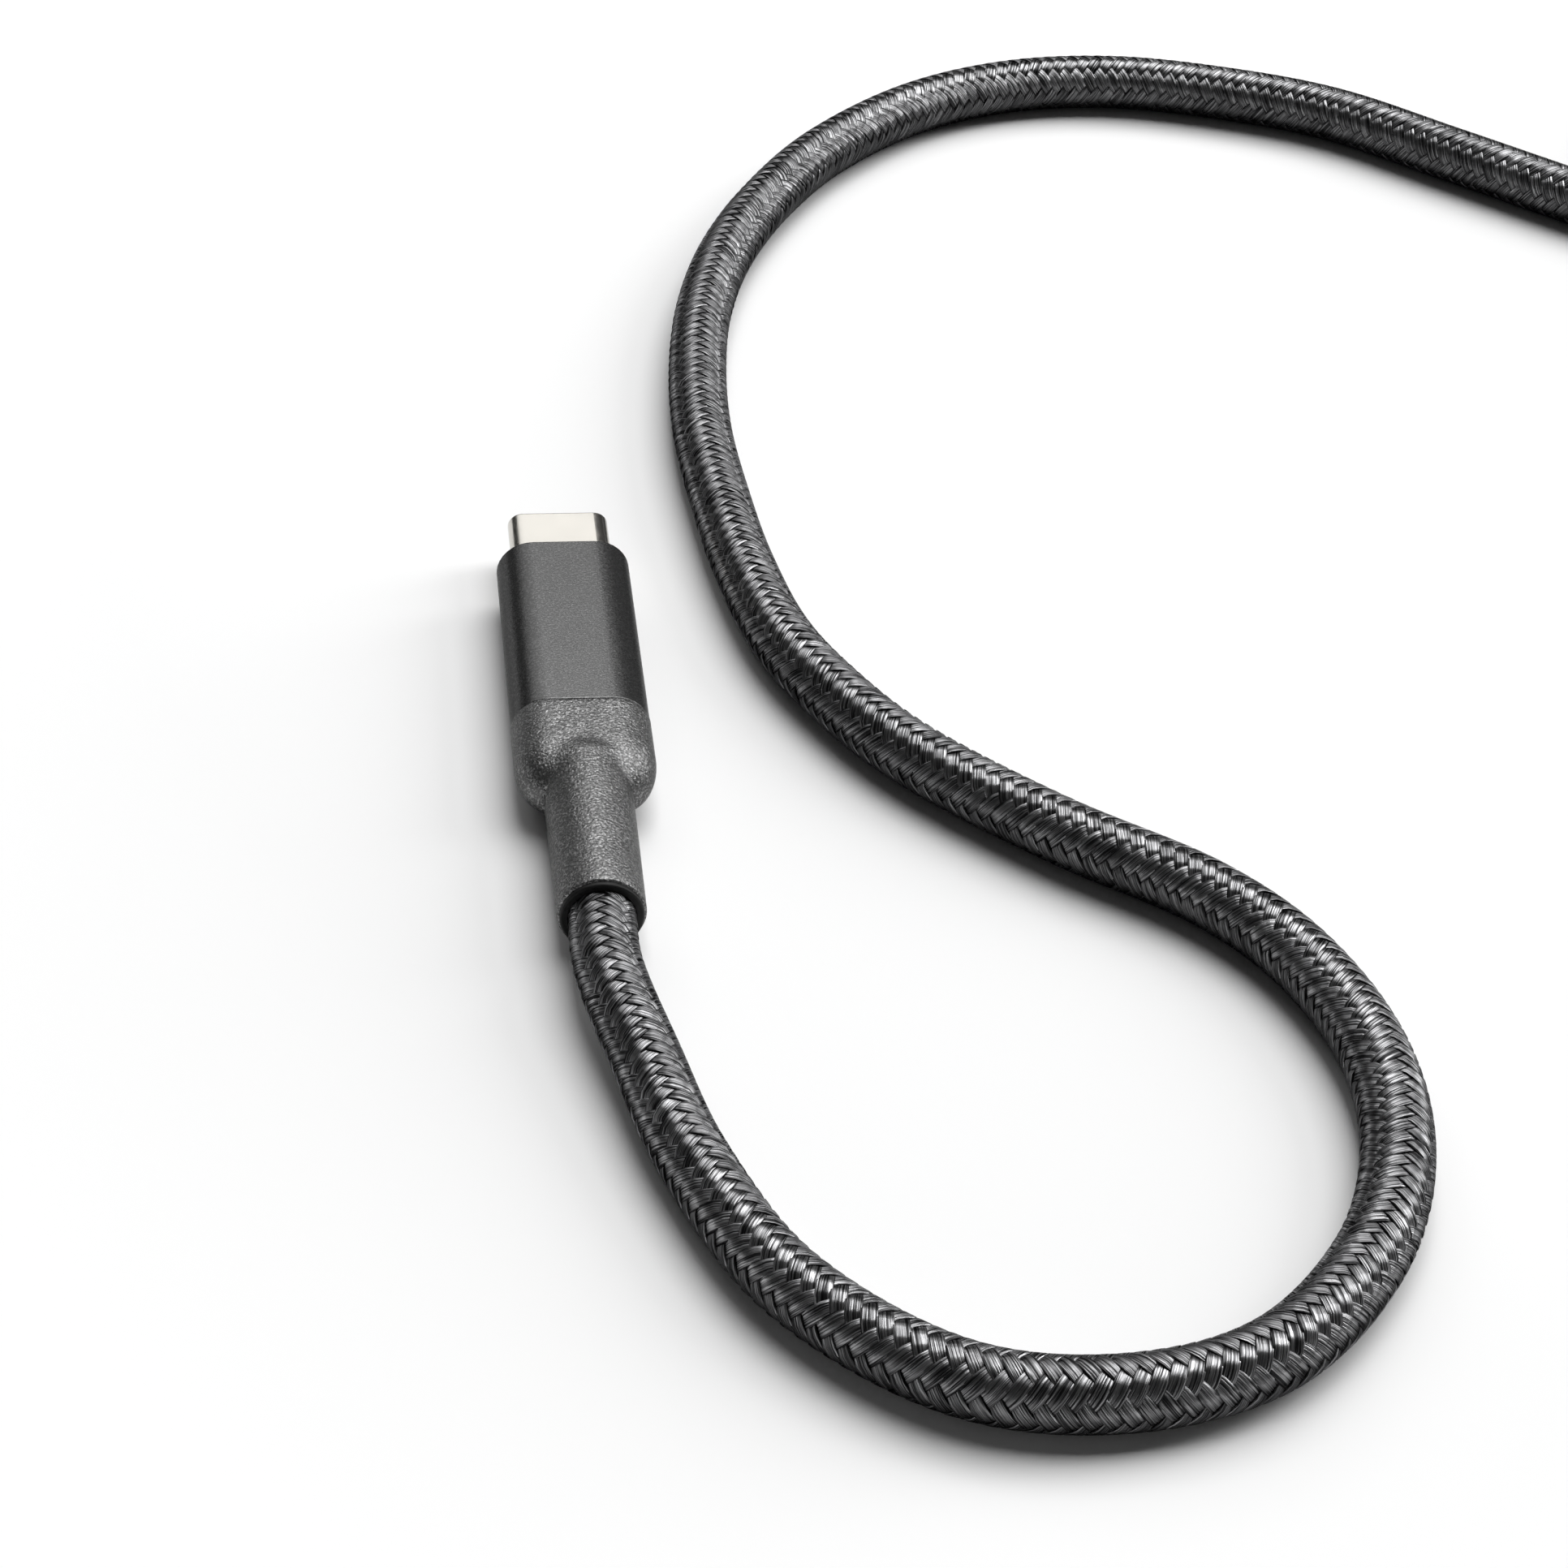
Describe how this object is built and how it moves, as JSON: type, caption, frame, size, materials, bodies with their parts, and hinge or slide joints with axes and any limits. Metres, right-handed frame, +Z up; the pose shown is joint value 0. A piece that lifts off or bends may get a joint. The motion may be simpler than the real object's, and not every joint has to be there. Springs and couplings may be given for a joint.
{
  "type": "charging cable",
  "caption": "Thick round braided charging cable with a flat reversible plug on each end; the spare length is wound in a tied coil.",
  "frame": {"origin": "centre of the underside of the near plug's bounding box, on the surface that the cable lies on", "axes": "+Y along the near plug and out of its mouth, +Z up from the surface, +X across the plug towards the coil"},
  "size_m": [0.1825, 0.1911, 0.0129],
  "materials": {
    "shell_steel": "nickel plated, satin",
    "spring_steel": "satin",
    "can_steel": "tinned",
    "contacts": "gold plated",
    "insulator": "glass-filled",
    "circuit_card": "solder mask",
    "chips": "moulded",
    "wire_jacket": "extruded",
    "core_jacket": "extruded",
    "inner_mould": "moulded",
    "housing_aluminium": "bead-blasted and anodised dark grey",
    "boot_rubber": "coarse moulded texture",
    "sleeve_rubber": "smooth",
    "braid": "glossy nylon braid",
    "tie_fabric": "hook-and-loop strap"
  },
  "bodies": {
    "root": {"near_shell": "shell_steel", "near_insulator": "insulator", "near_contacts_upper": "contacts", "near_contacts_lower": "contacts", "near_ground_springs": "spring_steel", "near_latch": "spring_steel", "near_card": "circuit_card", "near_chips": "chips", "near_can_upper": "can_steel", "near_can_lower": "can_steel", "near_wires": "wire_jacket", "near_ferrule": "can_steel", "near_core": "core_jacket", "near_mould": "inner_mould", "near_housing": "housing_aluminium", "near_sleeve": "sleeve_rubber", "near_braid_end": "braid", "near_boot": "boot_rubber", "far_shell": "shell_steel", "far_insulator": "insulator", "far_contacts_upper": "contacts", "far_contacts_lower": "contacts", "far_ground_springs": "spring_steel", "far_latch": "spring_steel", "far_card": "circuit_card", "far_chips": "chips", "far_can_upper": "can_steel", "far_can_lower": "can_steel", "far_wires": "wire_jacket", "far_ferrule": "can_steel", "far_core": "core_jacket", "far_mould": "inner_mould", "far_housing": "housing_aluminium", "far_sleeve": "sleeve_rubber", "far_braid_end": "braid", "far_boot": "boot_rubber", "cord_run": "braid", "cord_coil": "braid", "cord_lead": "braid", "tie": "tie_fabric"}
  },
  "joints": []
}
